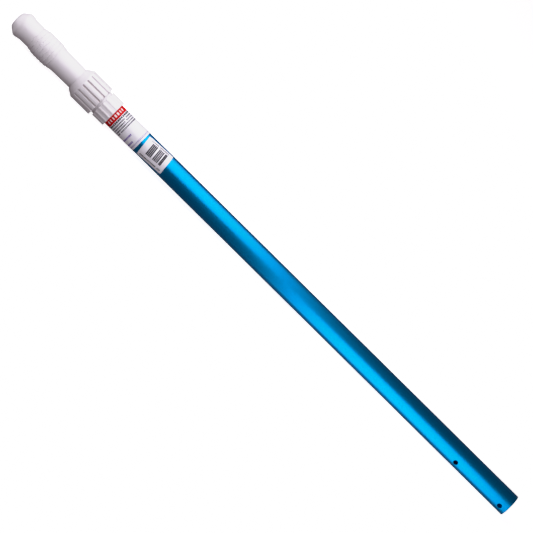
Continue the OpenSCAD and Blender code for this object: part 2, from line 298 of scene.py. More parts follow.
# Stainless steel, turned and passivated: bright grey with a fine grain round the turned faces.
steelLook = {
    "bright": "#BEBFC2",
    "dull": "#A4A5AA",
    "roughness": (0.2, 0.38),
    "grain": 0.5 * mm,  # the real grain is about 0.05 mm, drawn coarser so that it shows
}
turnedStainless, tree, surface = startMaterial("turned stainless steel",
    steelLook["bright"], 1.0, 0.28)
place = addNode(tree, "ShaderNodeTexCoord").node.outputs["Object"]
grain = addNode(tree, "ShaderNodeTexNoise",
    {"Vector": place, "Scale": 1 / steelLook["grain"], "Detail": 3.0})
tint = addNode(tree, "ShaderNodeMixRGB",
    {"Fac": grain, "Color1": hexColour(steelLook["bright"]),
    "Color2": hexColour(steelLook["dull"])})
tree.links.new(tint, surface["Base Color"])
low, high = steelLook["roughness"]
dull = addNode(tree, "ShaderNodeMapRange", {"Value": grain, "To Min": low, "To Max": high})
tree.links.new(dull, surface["Roughness"])

print("stage 2: materials made")


# helpers for turned, bent and cut pieces; an outline is a closed loop of (x, radius) points


def softened(corners, steps=4, support=0.35 * mm):  # rounds the corners of a closed outline
    points = []
    for i, (x, r, soft) in enumerate(corners):
        here = Vector((x, r))
        back = (Vector(corners[i - 1][:2]) - here).normalized()
        ahead = (Vector(corners[(i + 1) % len(corners)][:2]) - here).normalized()
        if not soft:
            points.append(here)
            continue
        half = back.angle(ahead) / 2
        centre = here + (back + ahead).normalized() * soft / math.sin(half)
        first = here + back * soft / math.tan(half) - centre
        last = here + ahead * soft / math.tan(half) - centre
        for k in range(steps + 1):
            share = k / steps
            turn = math.pi - 2 * half
            bent = first * math.sin((1 - share) * turn) + last * math.sin(share * turn)
            points.append(centre + bent / math.sin(turn))
    held = []  # a point near each end of a long straight keeps the rounding from shading the flat
    for i, point in enumerate(points):
        after = points[(i + 1) % len(points)]
        gap = (after - point).length
        held.append(point)
        if gap > 4 * support:
            held += [point.lerp(after, support / gap), after.lerp(point, support / gap)]
    return held


# adds points along X between start and end, on straights whose radius is in the range
def stationed(outline, start, end, step, above=0.0, below=1.0):
    closer = []
    for i, point in enumerate(outline):
        after = outline[(i + 1) % len(outline)]
        closer.append(point)
        outside = min(point.y, after.y) < above or max(point.y, after.y) > below
        if outside or abs(after.x - point.x) < step:
            continue
        low, high = max(start, min(point.x, after.x)), min(end, max(point.x, after.x))
        count = math.ceil((high - low) / step) if high > low else 0
        cuts = [low + (high - low) * k / count for k in range(count + 1)] if count else []
        shares = sorted((cut - point.x) / (after.x - point.x) for cut in cuts)
        closer += [point.lerp(after, share) for share in shares if 1e-4 < share < 1 - 1e-4]
    return closer


onAxis = 1e-7  # an outline point nearer the axis than this is a pole


# turns an (x, r) outline round X
def lathe(name, outline, segments, material, turn=0.0, stand=None):
    mesh = bpy.data.meshes.new(name)
    bm = bmesh.new()
    hoops = []
    for x, r in outline:
        if r < onAxis:
            hoops.append([bm.verts.new((x, 0, 0))] * segments)
            continue
        angles = [math.radians(turn) + 2 * math.pi * k / segments for k in range(segments)]
        hoops.append([bm.verts.new((x, r * math.cos(a), r * math.sin(a))) for a in angles])
    for i, hoop in enumerate(hoops):
        other = hoops[(i + 1) % len(hoops)]
        for k in range(segments):
            ring = [hoop[k], hoop[(k + 1) % segments], other[(k + 1) % segments], other[k]]
            corners = [v for n, v in enumerate(ring) if v not in ring[:n]]
            if len(corners) > 2:
                bm.faces.new(corners)
    bmesh.ops.recalc_face_normals(bm, faces=bm.faces)
    if stand:
        bm.transform(stand)
    bm.to_mesh(mesh)
    bm.free()
    return makePiece(name, mesh, material)


def makePiece(name, mesh, material):
    piece = bpy.data.objects.new(name, mesh)
    bpy.context.scene.collection.objects.link(piece)
    if material and not mesh.materials:
        mesh.materials.append(material)
    smoothOver(mesh)
    return piece


def smoothOver(mesh, sharp=40):  # smooth shading that keeps edges sharper than this
    mesh.shade_smooth()
    mesh.set_sharp_from_angle(angle=math.radians(sharp))


def bakeModifiers(piece, sharp=40):  # turns what the modifiers make into the piece's own plain mesh
    graph = bpy.context.evaluated_depsgraph_get()
    plain = bpy.data.meshes.new_from_object(piece.evaluated_get(graph), depsgraph=graph)
    piece.modifiers.clear()
    piece.data = plain
    plain.name = piece.name
    smoothOver(plain, sharp)


def cutAway(piece, *tools):  # cuts closed shapes out of a piece and throws them away
    for tool in tools:
        cut = piece.modifiers.new("cut", "BOOLEAN")
        cut.object, cut.operation, cut.solver = tool, "DIFFERENCE", "EXACT"
    bakeModifiers(piece)
    for tool in tools:
        bpy.data.objects.remove(tool)


def standAt(x, out):  # stands a turned shape at x, with its own +X pointing out of the pole
    side = Vector(out).normalized()
    return Matrix.Translation((x, 0, 0)) @ side.to_track_quat("X", "Z").to_matrix().to_4x4()


def drill(low, high, radius, x, out, segments=64):  # a plain rod, for cutting a round hole
    points = [Vector(p) for p in ((low, 0), (low, radius), (high, radius), (high, 0))]
    return lathe("drill", points, segments, None, 0, standAt(x, out))


def finishPiece(piece, body, slot, *nodes):
    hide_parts(*nodes)
    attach(piece, body)


# grooves: one rule for flutes, threads and rings, cut by moving the skin in toward the axis


def groovesTree():
    tree = bpy.data.node_groups.new("grooves", "GeometryNodeTree")
    tree.interface.new_socket("Geometry", in_out="INPUT", socket_type="NodeSocketGeometry")
    measures = ("Around", "Along", "Phase", "Width", "Shape", "Depth")
    limits = ("From", "To", "Inside", "Outside")
    for name in measures + limits:
        tree.interface.new_socket(name, in_out="INPUT", socket_type="NodeSocketFloat")
    tree.interface.new_socket("Material", in_out="INPUT", socket_type="NodeSocketMaterial")
    tree.interface.new_socket("Geometry", in_out="OUTPUT", socket_type="NodeSocketGeometry")
    given = addNode(tree, "NodeGroupInput").node.outputs
    place = addNode(tree, "GeometryNodeInputPosition")
    x, y, z = addNode(tree, "ShaderNodeSeparateXYZ", {0: place}).node.outputs
    angle = addNode(tree, "ShaderNodeMath", {0: z, 1: y}, operation="ARCTAN2")
    turns = addNode(tree, "ShaderNodeMath", {0: angle, 1: 2 * math.pi}, operation="DIVIDE")
    aroundCount = addNode(tree, "ShaderNodeMath", {0: turns, 1: given["Around"]},
        operation="MULTIPLY")
    along = addNode(tree, "ShaderNodeMath", {0: x, 1: given["Along"], 2: aroundCount},
        operation="MULTIPLY_ADD")
    phase = addNode(tree, "ShaderNodeMath", {0: along, 1: given["Phase"]}, operation="SUBTRACT")
    apart = addNode(tree, "ShaderNodeMath", {0: phase, 1: 0.5}, operation="PINGPONG")
    half = addNode(tree, "ShaderNodeMath", {0: given["Width"], 1: 2.0}, operation="DIVIDE")
    share = addNode(tree, "ShaderNodeMath", {0: apart, 1: half}, operation="DIVIDE")
    bowl = addNode(tree, "ShaderNodeMath", {0: share, 1: given["Shape"]}, operation="POWER")
    hollow = addNode(tree, "ShaderNodeMath", {0: 1.0, 1: bowl}, operation="SUBTRACT",
        use_clamp=True)
    flat = addNode(tree, "ShaderNodeCombineXYZ", {"Y": y, "Z": z})
    radius = addNode(tree, "ShaderNodeVectorMath", {0: flat},
        operation="LENGTH").node.outputs["Value"]
    tests = ((x, "From", "GREATER_THAN"), (x, "To", "LESS_THAN"),
             (radius, "Inside", "GREATER_THAN"), (radius, "Outside", "LESS_THAN"))
    for value, limit, test in tests:
        allowed = addNode(tree, "ShaderNodeMath", {0: value, 1: given[limit]}, operation=test)
        hollow = addNode(tree, "ShaderNodeMath", {0: hollow, 1: allowed}, operation="MULTIPLY")
    inward = addNode(tree, "ShaderNodeMath", {0: hollow, 1: given["Depth"]}, operation="MULTIPLY")
    inward = addNode(tree, "ShaderNodeMath", {0: inward, 1: -1.0}, operation="MULTIPLY")
    out = addNode(tree, "ShaderNodeVectorMath", {0: flat}, operation="NORMALIZE")
    move = addNode(tree, "ShaderNodeVectorMath", {0: out, "Scale": inward}, operation="SCALE")
    moved = addNode(tree, "GeometryNodeSetPosition",
        {"Geometry": given["Geometry"], "Offset": move})
    real = addNode(tree, "GeometryNodeRealizeInstances", {"Geometry": moved})
    coated = addNode(tree, "GeometryNodeSetMaterial",
        {"Geometry": real, "Material": given["Material"]})
    tree.links.new(coated, tree.nodes.new("NodeGroupOutput").inputs["Geometry"])
    return tree


# printing: rows of marks laid flat, then turned and wrapped on the tube


def printTree():
    tree = bpy.data.node_groups.new("printing", "GeometryNodeTree")
    tree.interface.new_socket("Geometry", in_out="INPUT", socket_type="NodeSocketGeometry")
    for name in ("Along Count", "Round Count", "Steps", "Seed"):
        tree.interface.new_socket(name, in_out="INPUT", socket_type="NodeSocketInt")
    measures = ("Along Pitch", "Round Pitch", "Along Size", "Round Size", "Along Least",
                "Round Least", "Keep", "Thickness", "Middle", "Side", "Turn", "Shift Along",
                "Shift Round", "Radius")
    for name in measures:
        tree.interface.new_socket(name, in_out="INPUT", socket_type="NodeSocketFloat")
    tree.interface.new_socket("Material", in_out="INPUT", socket_type="NodeSocketMaterial")
    tree.interface.new_socket("Geometry", in_out="OUTPUT", socket_type="NodeSocketGeometry")
    given = addNode(tree, "NodeGroupInput").node.outputs
    index = addNode(tree, "GeometryNodeInputIndex")
    column = addNode(tree, "ShaderNodeMath", {0: index, 1: given["Along Count"]},
        operation="MODULO")
    row = addNode(tree, "ShaderNodeMath", {0: index, 1: given["Along Count"]}, operation="DIVIDE")
    row = addNode(tree, "ShaderNodeMath", {0: row}, operation="FLOOR")
    spots = []
    ways = ((column, "Along Count", "Along Pitch"), (row, "Round Count", "Round Pitch"))
    for line, count, pitch in ways:
        last = addNode(tree, "ShaderNodeMath", {0: given[count], 1: 1.0}, operation="SUBTRACT")
        middle = addNode(tree, "ShaderNodeMath", {0: last, 1: 2.0}, operation="DIVIDE")
        steps = addNode(tree, "ShaderNodeMath", {0: line, 1: middle}, operation="SUBTRACT")
        spots.append(addNode(tree, "ShaderNodeMath", {0: steps, 1: given[pitch]},
            operation="MULTIPLY"))
    total = addNode(tree, "ShaderNodeMath", {0: given["Along Count"], 1: given["Round Count"]},
        operation="MULTIPLY")
    spot = addNode(tree, "ShaderNodeCombineXYZ", {"X": spots[0], "Y": spots[1]})
    points = addNode(tree, "GeometryNodePoints", {"Count": total, "Position": spot})
    skipped = addNode(tree, "FunctionNodeRandomValue", {"Seed": given["Seed"]},
        data_type="FLOAT").node.outputs[1]
    skip = addNode(tree, "ShaderNodeMath", {0: skipped, 1: given["Keep"]}, operation="GREATER_THAN")
    kept = addNode(tree, "GeometryNodeDeleteGeometry", {"Geometry": points, "Selection": skip},
        domain="POINT")
    sizes = []
    spans = (("Along Size", "Along Least"), ("Round Size", "Round Least"))
    for k, (size, least) in enumerate(spans):
        seed = addNode(tree, "ShaderNodeMath", {0: given["Seed"], 1: float(k + 7)}, operation="ADD")
        share = addNode(tree, "FunctionNodeRandomValue", {2: given[least], 3: 1.0, "Seed": seed},
            data_type="FLOAT").node.outputs[1]
        sizes.append(addNode(tree, "ShaderNodeMath", {0: share, 1: given[size]},
            operation="MULTIPLY"))
    scale = addNode(tree, "ShaderNodeCombineXYZ",
        {"X": sizes[0], "Y": sizes[1], "Z": given["Thickness"]})
    block = addNode(tree, "GeometryNodeMeshCube",
        {"Size": (1, 1, 1), "Vertices X": 2, "Vertices Y": given["Steps"], "Vertices Z": 2})
    marks = addNode(tree, "GeometryNodeInstanceOnPoints",
        {"Points": kept, "Instance": block, "Scale": scale})
    real = addNode(tree, "GeometryNodeRealizeInstances", {"Geometry": marks})
    shift = addNode(tree, "ShaderNodeCombineXYZ",
        {"X": given["Shift Along"], "Y": given["Shift Round"]})
    place = addNode(tree, "ShaderNodeVectorMath",
        {0: addNode(tree, "GeometryNodeInputPosition"), 1: shift}, operation="ADD")
    turned = addNode(tree, "ShaderNodeVectorRotate", {"Vector": place, "Angle": given["Turn"]},
        rotation_type="Z_AXIS")
    u, v, h = addNode(tree, "ShaderNodeSeparateXYZ", {0: turned}).node.outputs
    x = addNode(tree, "ShaderNodeMath", {0: u, 1: given["Middle"]}, operation="ADD")
    arc = addNode(tree, "ShaderNodeMath", {0: v, 1: given["Radius"]}, operation="DIVIDE")
    angle = addNode(tree, "ShaderNodeMath", {0: given["Side"], 1: arc}, operation="SUBTRACT")
    reach = addNode(tree, "ShaderNodeMath", {0: h, 1: given["Radius"]}, operation="ADD")
    cosine = addNode(tree, "ShaderNodeMath", {0: angle}, operation="COSINE")
    sine = addNode(tree, "ShaderNodeMath", {0: angle}, operation="SINE")
    y = addNode(tree, "ShaderNodeMath", {0: reach, 1: cosine}, operation="MULTIPLY")
    z = addNode(tree, "ShaderNodeMath", {0: reach, 1: sine}, operation="MULTIPLY")
    wrapped = addNode(tree, "ShaderNodeCombineXYZ", {"X": x, "Y": y, "Z": z})
    laid = addNode(tree, "GeometryNodeSetPosition", {"Geometry": real, "Position": wrapped})
    coated = addNode(tree, "GeometryNodeSetMaterial",
        {"Geometry": laid, "Material": given["Material"]})
    tree.links.new(coated, tree.nodes.new("NodeGroupOutput").inputs["Geometry"])
    return tree


def growWith(piece, tree, values):  # puts a tree on a piece, with inputs set by identifier
    modifier = piece.modifiers.new(tree.name, "NODES")
    modifier.node_group = tree
    for item in tree.interface.items_tree:
        if item.in_out == "INPUT" and item.name in values:
            modifier[item.identifier] = values[item.name]


grooves = groovesTree()
printing = printTree()

print("stage 3: node trees made")


# outer tube: sized at its open end and drilled through for the spring clip

tubeSizes = {
    "wall": 1.27 * mm, "edge": 0.3 * mm, "segments": 256, "holeSegments": 72,
    "collarScrew": (725.2 * mm, 1.6 * mm),  # its place along the pole, and the hole's radius
    "nearHole": (6 * mm, 0.8 * mm),  # how far from a clip hole the hoops are close, and how close
    "hoops": 20 * mm,
}
boreR = tubeR - tubeSizes["wall"]
edge = tubeSizes["edge"]
outline = softened([
    (tubeStart, socketR, edge), (tubeStart, tubeR, edge),
    (tubeEnd, tubeR, edge), (tubeEnd, boreR, edge),
    (socketDepth + 0.2 * mm, boreR, 0), (socketDepth, socketR, 0)])
reach, step = tubeSizes["nearHole"]
for hole in clipHoles:  # close hoops near the holes keep the wall round there
    outline = stationed(outline, hole["pos_m"][0] - reach, hole["pos_m"][0] + reach, step)
outline = stationed(outline, tubeStart, tubeEnd, tubeSizes["hoops"])
outerTube = lathe("outerTube", outline, tubeSizes["segments"], blueAnodised)
screwX, screwR = tubeSizes["collarScrew"]
drills = []
for hole in clipHoles:
    radius, x = hole["dims"]["r_mm"] * mm, hole["pos_m"][0]
    drills.append(drill(-20 * mm, 20 * mm, radius, x, (0, 1, 0), tubeSizes["holeSegments"]))
drills.append(drill(10 * mm, 18 * mm, screwR, screwX, (0, -1, 0)))
cutAway(outerTube, *drills)
finishPiece(outerTube, "outer_pole", "anodised_tube", "outer_tube")


# lock body: fluted collar, neck and coarse thread in one moulding, with a taper inside

bodySizes = {
    "collarLength": 19.2 * mm, "collarR": 19.505 * mm, "neckR": 17.475 * mm,
    "flutes": 16, "fluteTurn": 25.5, "fluteWidth": 6 * mm, "fluteDepth": 0.7 * mm,
    "fluteShape": 3.0,  # a higher shape is squarer, here and for every groove
    "threadR": 18.275 * mm, "lead": 3 * mm, "threadDepth": 0.75 * mm, "threadWidth": 0.85,
    "threadShape": 2.5, "threadHoops": 0.3 * mm,
    "ledge": 2 * mm, "flange": 2 * mm, "passR": 13.3 * mm,
    "taperLowR": 14.3 * mm, "taperHighR": 17.075 * mm, "segments": 384,
}
s = bodySizes
neckX = bodyStart + s["collarLength"]
ledgeX = tubeEnd + s["flange"]
taperX = ledgeX + s["ledge"]
outline = softened([
    (bodyStart, tubeR, 0.15 * mm), (bodyStart, s["collarR"], 0.3 * mm),
    (neckX, s["collarR"], 0.5 * mm), (neckX, s["neckR"], 0.5 * mm),
    (nutStart, s["neckR"], 0.2 * mm), (nutStart + 0.6 * mm, s["threadR"], 0.2 * mm),
    (bodyEnd, s["threadR"], 0.3 * mm), (bodyEnd, s["taperHighR"], 0.15 * mm),
    (taperX, s["taperLowR"], 0.1 * mm), (taperX, s["passR"], 0.1 * mm),
    (ledgeX, s["passR"], 0.1 * mm), (ledgeX, tubeR, 0.1 * mm)])
outline = stationed(outline, nutStart, bodyEnd, s["threadHoops"], s["threadR"] - 0.05 * mm)
lockBody = lathe("lockBody", outline, s["segments"], whiteAbs, s["fluteTurn"])
growWith(lockBody, grooves, {  # flutes, a shallow arc each
    "Around": float(s["flutes"]), "Along": 0.0, "Phase": s["flutes"] * s["fluteTurn"] / 360,
    "Width": s["fluteWidth"] / (2 * math.pi * s["collarR"] / s["flutes"]),
    "Shape": s["fluteShape"], "Depth": s["fluteDepth"],
    "From": bodyStart - mm, "To": neckX + 0.01 * mm, "Inside": s["collarR"] - 0.8 * mm,
    "Outside": 1.0, "Material": whiteAbs})
growWith(lockBody, grooves, {  # thread, right-handed, one start
    "Around": -1.0, "Along": 1 / s["lead"], "Phase": nutStart / s["lead"],
    "Width": s["threadWidth"], "Shape": s["threadShape"], "Depth": s["threadDepth"],
    "From": nutStart + 1.2 * mm, "To": bodyEnd - 0.6 * mm, "Inside": s["threadR"] - 0.1 * mm,
    "Outside": s["threadR"] + mm, "Material": whiteAbs})
bakeModifiers(lockBody, 30)


# countersunk screws with a cross recess, on the side away from +Y

screwSizes = {
    "shankR": 1.6 * mm, "headR": 3 * mm, "hole": 0.03 * mm, "sunk": 0.3 * mm, "segments": 64,
    "recess": (1.9 * mm, 0.55 * mm, 1.2 * mm),  # half its length, its width and its depth
    "recessTaper": 0.55, "recessTurn": 20, "recessProud": 0.02 * mm,
}


def crossTool(top, x):  # two tapered blades, for the driver's recess
    length, width, depth = screwSizes["recess"]
    facing = standAt(x, (0, -1, 0)) @ Matrix.Translation((top, 0, 0))
    tools = []
    for turn in (0, 90):
        turned = Matrix.Rotation(math.radians(turn + screwSizes["recessTurn"]), 4, "X")
        mesh = bpy.data.meshes.new("blade")
        bm = bmesh.new()
        bmesh.ops.create_cube(bm, size=1)
        for v in bm.verts:
            narrow = screwSizes["recessTaper"] if v.co.x < 0 else 1.0
            v.co = Vector(((v.co.x - 0.5) * depth + screwSizes["recessProud"],
                           v.co.y * 2 * length * narrow, v.co.z * width * narrow))
        bm.transform(facing @ turned)
        bm.to_mesh(mesh)
        bm.free()
        tools.append(makePiece("blade", mesh, None))
    return tools


def screwOutline(tip, top, extra=0.0):
    slope = screwSizes["headR"] - screwSizes["shankR"]
    shank = screwSizes["shankR"] + extra
    return [(tip, 0), (tip, shank), (top - slope, shank), (top, screwSizes["headR"] + extra)]


def makeScrew(name, node, body, x, tip, top):
    points = screwOutline(tip, top)
    outline = softened([
        (*points[0], 0), (*points[1], 0.2 * mm), (*points[2], 0.1 * mm), (*points[3], 0.12 * mm),
        (top, 0, 0)])
    screw = lathe(name, outline, screwSizes["segments"], turnedStainless, 0, standAt(x, (0, -1, 0)))
    cutAway(screw, *crossTool(top, x))
    finishPiece(screw, body, "stainless", node)


def screwHole(x, tip, top):
    points = screwOutline(tip - mm, top, screwSizes["hole"])
    points += [(top + 6 * mm, screwSizes["headR"] + screwSizes["hole"]), (top + 6 * mm, 0)]
    outline = [Vector(p) for p in points]
    return lathe("hole", outline, screwSizes["segments"], None, 0, standAt(x, (0, -1, 0)))


collarHeadAt = s["collarR"] - s["fluteDepth"] - screwSizes["sunk"]
cutAway(lockBody, screwHole(screwX, boreR, collarHeadAt))
smoothOver(lockBody.data, 30)
finishPiece(lockBody, "outer_pole", "white_moulding", "lock_body")
makeScrew("collarScrew", "collar_screw", "outer_pole", screwX, boreR, collarHeadAt)

print("stage 4: outer tube and lock body made")


# lock nut: deep square grooves all round, a smooth shoulder, an open mouth round the grip

nutSizes = {
    "boreR": 18.575 * mm, "shoulder": 9.2 * mm, "mouthR": 16.2 * mm, "mouthDepth": 5.3 * mm,
    "rim": 0.6 * mm, "ledge": 4 * mm, "passR": 13.3 * mm,
    "grooves": 16, "grooveTurn": 34.0, "grooveWidth": 2.8 * mm, "grooveDepth": 1.9 * mm,
    "grooveShape": 5.0, "ribRound": 0.4 * mm, "ribShape": 0.8,
    "grooveEnd": 1 * mm, "endWall": 0.24 * mm, "threadHoops": 0.45 * mm, "segments": 576,
}
s = nutSizes
shoulderX = nutEnd - s["shoulder"]
mouthX = nutEnd - s["mouthDepth"]
ledgeStart = mouthX - s["ledge"]
grooveEnd = shoulderX - s["grooveEnd"]
outline = softened([
    (nutStart, s["boreR"], 0.3 * mm), (nutStart, nutR, 0.7 * mm), (shoulderX, nutR, 0.5 * mm),
    (nutEnd, s["mouthR"] + s["rim"], 0.25 * mm), (nutEnd, s["mouthR"], 0.15 * mm),
    (mouthX, s["mouthR"], 0.2 * mm), (mouthX, s["passR"], 0.2 * mm),
    (ledgeStart, s["passR"], 0.2 * mm), (ledgeStart, s["boreR"], 0.2 * mm)])
halfWall = s["endWall"] / 2
outline = stationed(outline, grooveEnd - halfWall, grooveEnd + halfWall, s["endWall"],
    nutR - 0.1 * mm)
# the outside is straight and needs no hoops
nearBore = (s["boreR"] - 0.01 * mm, s["boreR"] + 0.01 * mm)
outline = stationed(outline, nutStart, ledgeStart, s["threadHoops"], *nearBore)
# the nut's material carries painted shade in the bottom of its grooves
lockNut = lathe("lockNut", outline, s["segments"], grooveShadedAbs, s["grooveTurn"])
growWith(lockNut, grooves, {  # each rib falls away to both sides of its crown
    "Around": float(s["grooves"]), "Along": 0.0, "Phase": s["grooves"] * s["grooveTurn"] / 360,
    "Width": 1.0, "Shape": s["ribShape"], "Depth": s["ribRound"],
    "From": nutStart - mm, "To": grooveEnd, "Inside": s["boreR"] + 2.5 * mm, "Outside": 1.0,
    "Material": grooveShadedAbs})
growWith(lockNut, grooves, {
    "Around": float(s["grooves"]), "Along": 0.0, "Phase": s["grooves"] * s["grooveTurn"] / 360,
    "Width": s["grooveWidth"] / (2 * math.pi * nutR / s["grooves"]), "Shape": s["grooveShape"],
    "Depth": s["grooveDepth"], "From": nutStart - mm, "To": grooveEnd,
    "Inside": s["boreR"] + 2.5 * mm, "Outside": 1.0, "Material": grooveShadedAbs})
growWith(lockNut, grooves, {  # the thread inside, cut out from the bore to take the body's crests
    "Around": -1.0, "Along": 1 / bodySizes["lead"], "Phase": nutStart / bodySizes["lead"] + 0.5,
    "Width": bodySizes["threadWidth"], "Shape": bodySizes["threadShape"],
    "Depth": -bodySizes["threadDepth"], "From": nutStart + 1.2 * mm, "To": ledgeStart - 0.6 * mm,
    "Inside": s["boreR"] - 0.1 * mm, "Outside": s["boreR"] + 0.1 * mm, "Material": grooveShadedAbs})
bakeModifiers(lockNut, 30)
finishPiece(lockNut, "lock_nut", "white_moulding", "lock_nut")


innerSizes = {  # the inner tube's own sizes, which the grip's screw needs too
    "wall": 1.27 * mm, "edge": 0.25 * mm, "pinR": 2 * mm, "screwR": 1.6 * mm, "segments": 224,
}
innerBoreR = innerR - innerSizes["wall"]


# grip: moulded sleeve with a ringed swell, a waist and a closed, rimmed end, over the inner tube

gripSizes = {
    "rootR": 15.6 * mm, "rootEdge": 0.35 * mm, "boreEdge": 0.3 * mm,
    "sleeveTop": (32.5 * mm, 16.1 * mm),  # distances from the root, then a radius, down to the rim
    "swell": (48.5 * mm, 63.5 * mm, 18.6 * mm),
    "waist": (79.5 * mm, 88.5 * mm, 16.3 * mm),
    "rim": (100.8 * mm, 18.2 * mm),
    "rimSoft": (2.2 * mm, 0.15 * mm), "tipR": 9.6 * mm, "tipRound": 1.6 * mm,
    "coneShort": 3.5 * mm, "dome": (6 * mm, 0.15 * mm), "domeCorner": 0.4 * mm,
    "rings": 7, "ringPitch": 5.74 * mm, "ringWidth": 1.8 * mm, "ringDepth": 0.55 * mm,
    "ringShape": 2.0, "ringHoops": 0.26 * mm, "lastRing": 34.4 * mm,  # from the closed end
    "screwAt": 16.5 * mm, "segments": 192,
}
s = gripSizes


def easedTo(start, end, steps=14):  # a smooth change of radius between two places
    points = []
    for k in range(1, steps + 1):
        eased = (1 - math.cos(math.pi * k / steps)) / 2
        along = start[0] + (end[0] - start[0]) * k / steps
        points.append(Vector((along, start[1] + (end[1] - start[1]) * eased)))
    return points


def fromRoot(along, r):
    return Vector((gripStart + along, r))


swellLow, swellHigh, swellR = s["swell"]
waistLow, waistHigh, waistR = s["waist"]
tipEdge = fromRoot(gripEnd - gripStart - s["tipRound"], s["tipR"] + s["tipRound"])
rim = fromRoot(*s["rim"])
skin = [fromRoot(s["rootEdge"], s["rootR"]), fromRoot(1.2 * mm, s["rootR"])]
skin.append(fromRoot(*s["sleeveTop"]))
skin += easedTo(skin[-1], fromRoot(swellLow, swellR))
skin += easedTo(fromRoot(swellHigh, swellR), fromRoot(waistLow, waistR))
skin += easedTo(fromRoot(waistHigh, waistR), rim)[:-3]
nose = (tipEdge - rim).normalized()


def bentBetween(first, corner, last, steps=8):  # a soft corner
    shares = [k / steps for k in range(steps + 1)]
    before, after = first - corner, last - corner
    return [corner + before * (1 - share) ** 2 + after * share ** 2 for share in shares]


rimReach, rimDrop = s["rimSoft"]
domeR, domeSink = s["dome"]
corner = rim + nose * ((gripEnd - s["domeCorner"] - rim.x) / nose.x)
coneEnd = corner - nose * s["coneShort"]
skin += bentBetween(rim - Vector((rimReach, rimDrop)), rim, rim + nose * rimReach)
skin += [(rim + nose * rimReach).lerp(coneEnd, share) for share in (0.2, 0.8)]
skin += bentBetween(coneEnd, corner, Vector((gripEnd - domeSink, domeR)))
for share in (0.75, 0.5, 0.25, 0.0):
    skin.append(Vector((gripEnd - domeSink * share ** 2, domeR * share)))
edge = s["boreEdge"]
skin += [Vector(p) for p in (
    (innerEnd, 0), (innerEnd, innerR - edge), (innerEnd - edge, innerR), (gripStart + edge, innerR),
    (gripStart, innerR + edge), (gripStart, s["rootR"] - s["rootEdge"]))]
lastRing = gripEnd - s["lastRing"]
firstRing = lastRing - (s["rings"] - 1) * s["ringPitch"]
skin = stationed(skin, firstRing - 2 * mm, lastRing + 2 * mm, s["ringHoops"], innerR + mm)
gripMoulding = lathe("gripMoulding", skin, s["segments"], whiteAbs)
growWith(gripMoulding, grooves, {
    "Around": 0.0, "Along": 1 / s["ringPitch"], "Phase": lastRing / s["ringPitch"],
    "Width": s["ringWidth"] / s["ringPitch"], "Shape": s["ringShape"], "Depth": s["ringDepth"],
    "From": firstRing - 2 * mm, "To": lastRing + 2 * mm, "Inside": innerR + mm, "Outside": 1.0,
    "Material": whiteAbs})
bakeModifiers(gripMoulding, 35)
gripScrewX = gripStart + s["screwAt"]
gripHeadAt = s["rootR"] - screwSizes["sunk"]
cutAway(gripMoulding, screwHole(gripScrewX, innerBoreR, gripHeadAt))
smoothOver(gripMoulding.data, 35)
finishPiece(gripMoulding, "inner_pole", "white_moulding", "grip")
makeScrew("gripScrew", "grip_screw", "inner_pole", gripScrewX, innerBoreR, gripHeadAt)

print("stage 5: nut and grip made")


# inner tube: the same drawn, anodised stock, pinned to the glide and screwed to the grip

edge = innerSizes["edge"]
outline = softened([
    (innerStart, innerBoreR, edge), (innerStart, innerR, edge),
    (innerEnd, innerR, edge), (innerEnd, innerBoreR, edge)])
outline = stationed(outline, innerStart, innerEnd, tubeSizes["hoops"])
innerTube = lathe("innerTube", outline, innerSizes["segments"], blueAnodised)
pinHole = drill(-16 * mm, 16 * mm, innerSizes["pinR"], pinMiddle, (0, 0, 1))
cutAway(innerTube, pinHole, drill(8 * mm, 16 * mm, innerSizes["screwR"], gripScrewX, (0, -1, 0)))
finishPiece(innerTube, "inner_pole", "anodised_tube", "inner_tube")


# printed films: a label wrapped all round against the collar, and a code sticker on the view side


filmSizes = {"glue": 0.004 * mm, "ink": 0.05 * mm, "overprint": 0.03 * mm}


def bentFilm(name, sizes, material):
    halfLong, halfRound, corner = sizes["length"] / 2, sizes["width"] / 2, sizes["corner"]
    turn, girth = math.radians(sizes["turn"]), 2 * math.pi * tubeR
    bm = bmesh.new()
    sheets = []
    for lift in (filmSizes["glue"], filmR - tubeR):
        grid = []
        for c in range(sizes["columns"] + 1):
            v = -halfRound + 2 * halfRound * c / sizes["columns"]
            past = max(0.0, abs(v) - (halfRound - corner))
            reach = halfLong - corner + math.sqrt(max(0.0, corner ** 2 - past ** 2))
            # the film climbs over its own start
            ride = min(1.0, max(0.0, (v - girth + halfRound) / sizes["ramp"] + 1))
            grid.append([])
            for k in range(sizes["rows"] + 1):
                u = reach * (2 * k / sizes["rows"] - 1)
                arc = u * math.sin(turn) + v * math.cos(turn)
                angle = math.radians(sizes["side"]) - arc / tubeR
                r = tubeR + lift + ride * (filmR - tubeR)
                x = sizes["middle"] + u * math.cos(turn) - v * math.sin(turn)
                grid[-1].append(bm.verts.new((x, r * math.cos(angle), r * math.sin(angle))))
        sheets.append(grid)
    under, over = sheets
    for c in range(sizes["columns"]):
        for k in range(sizes["rows"]):
            bm.faces.new((over[c][k], over[c][k + 1], over[c + 1][k + 1], over[c + 1][k]))
            bm.faces.new((under[c][k], under[c + 1][k], under[c + 1][k + 1], under[c][k + 1]))
        for k in (0, sizes["rows"]):
            bm.faces.new((under[c][k], over[c][k], over[c + 1][k], under[c + 1][k]))
    for k in range(sizes["rows"]):
        for c in (0, sizes["columns"]):
            bm.faces.new((under[c][k], over[c][k], over[c][k + 1], under[c][k + 1]))
    bmesh.ops.recalc_face_normals(bm, faces=bm.faces)
    mesh = bpy.data.meshes.new(name)
    bm.to_mesh(mesh)
    bm.free()
    return makePiece(name, mesh, material)


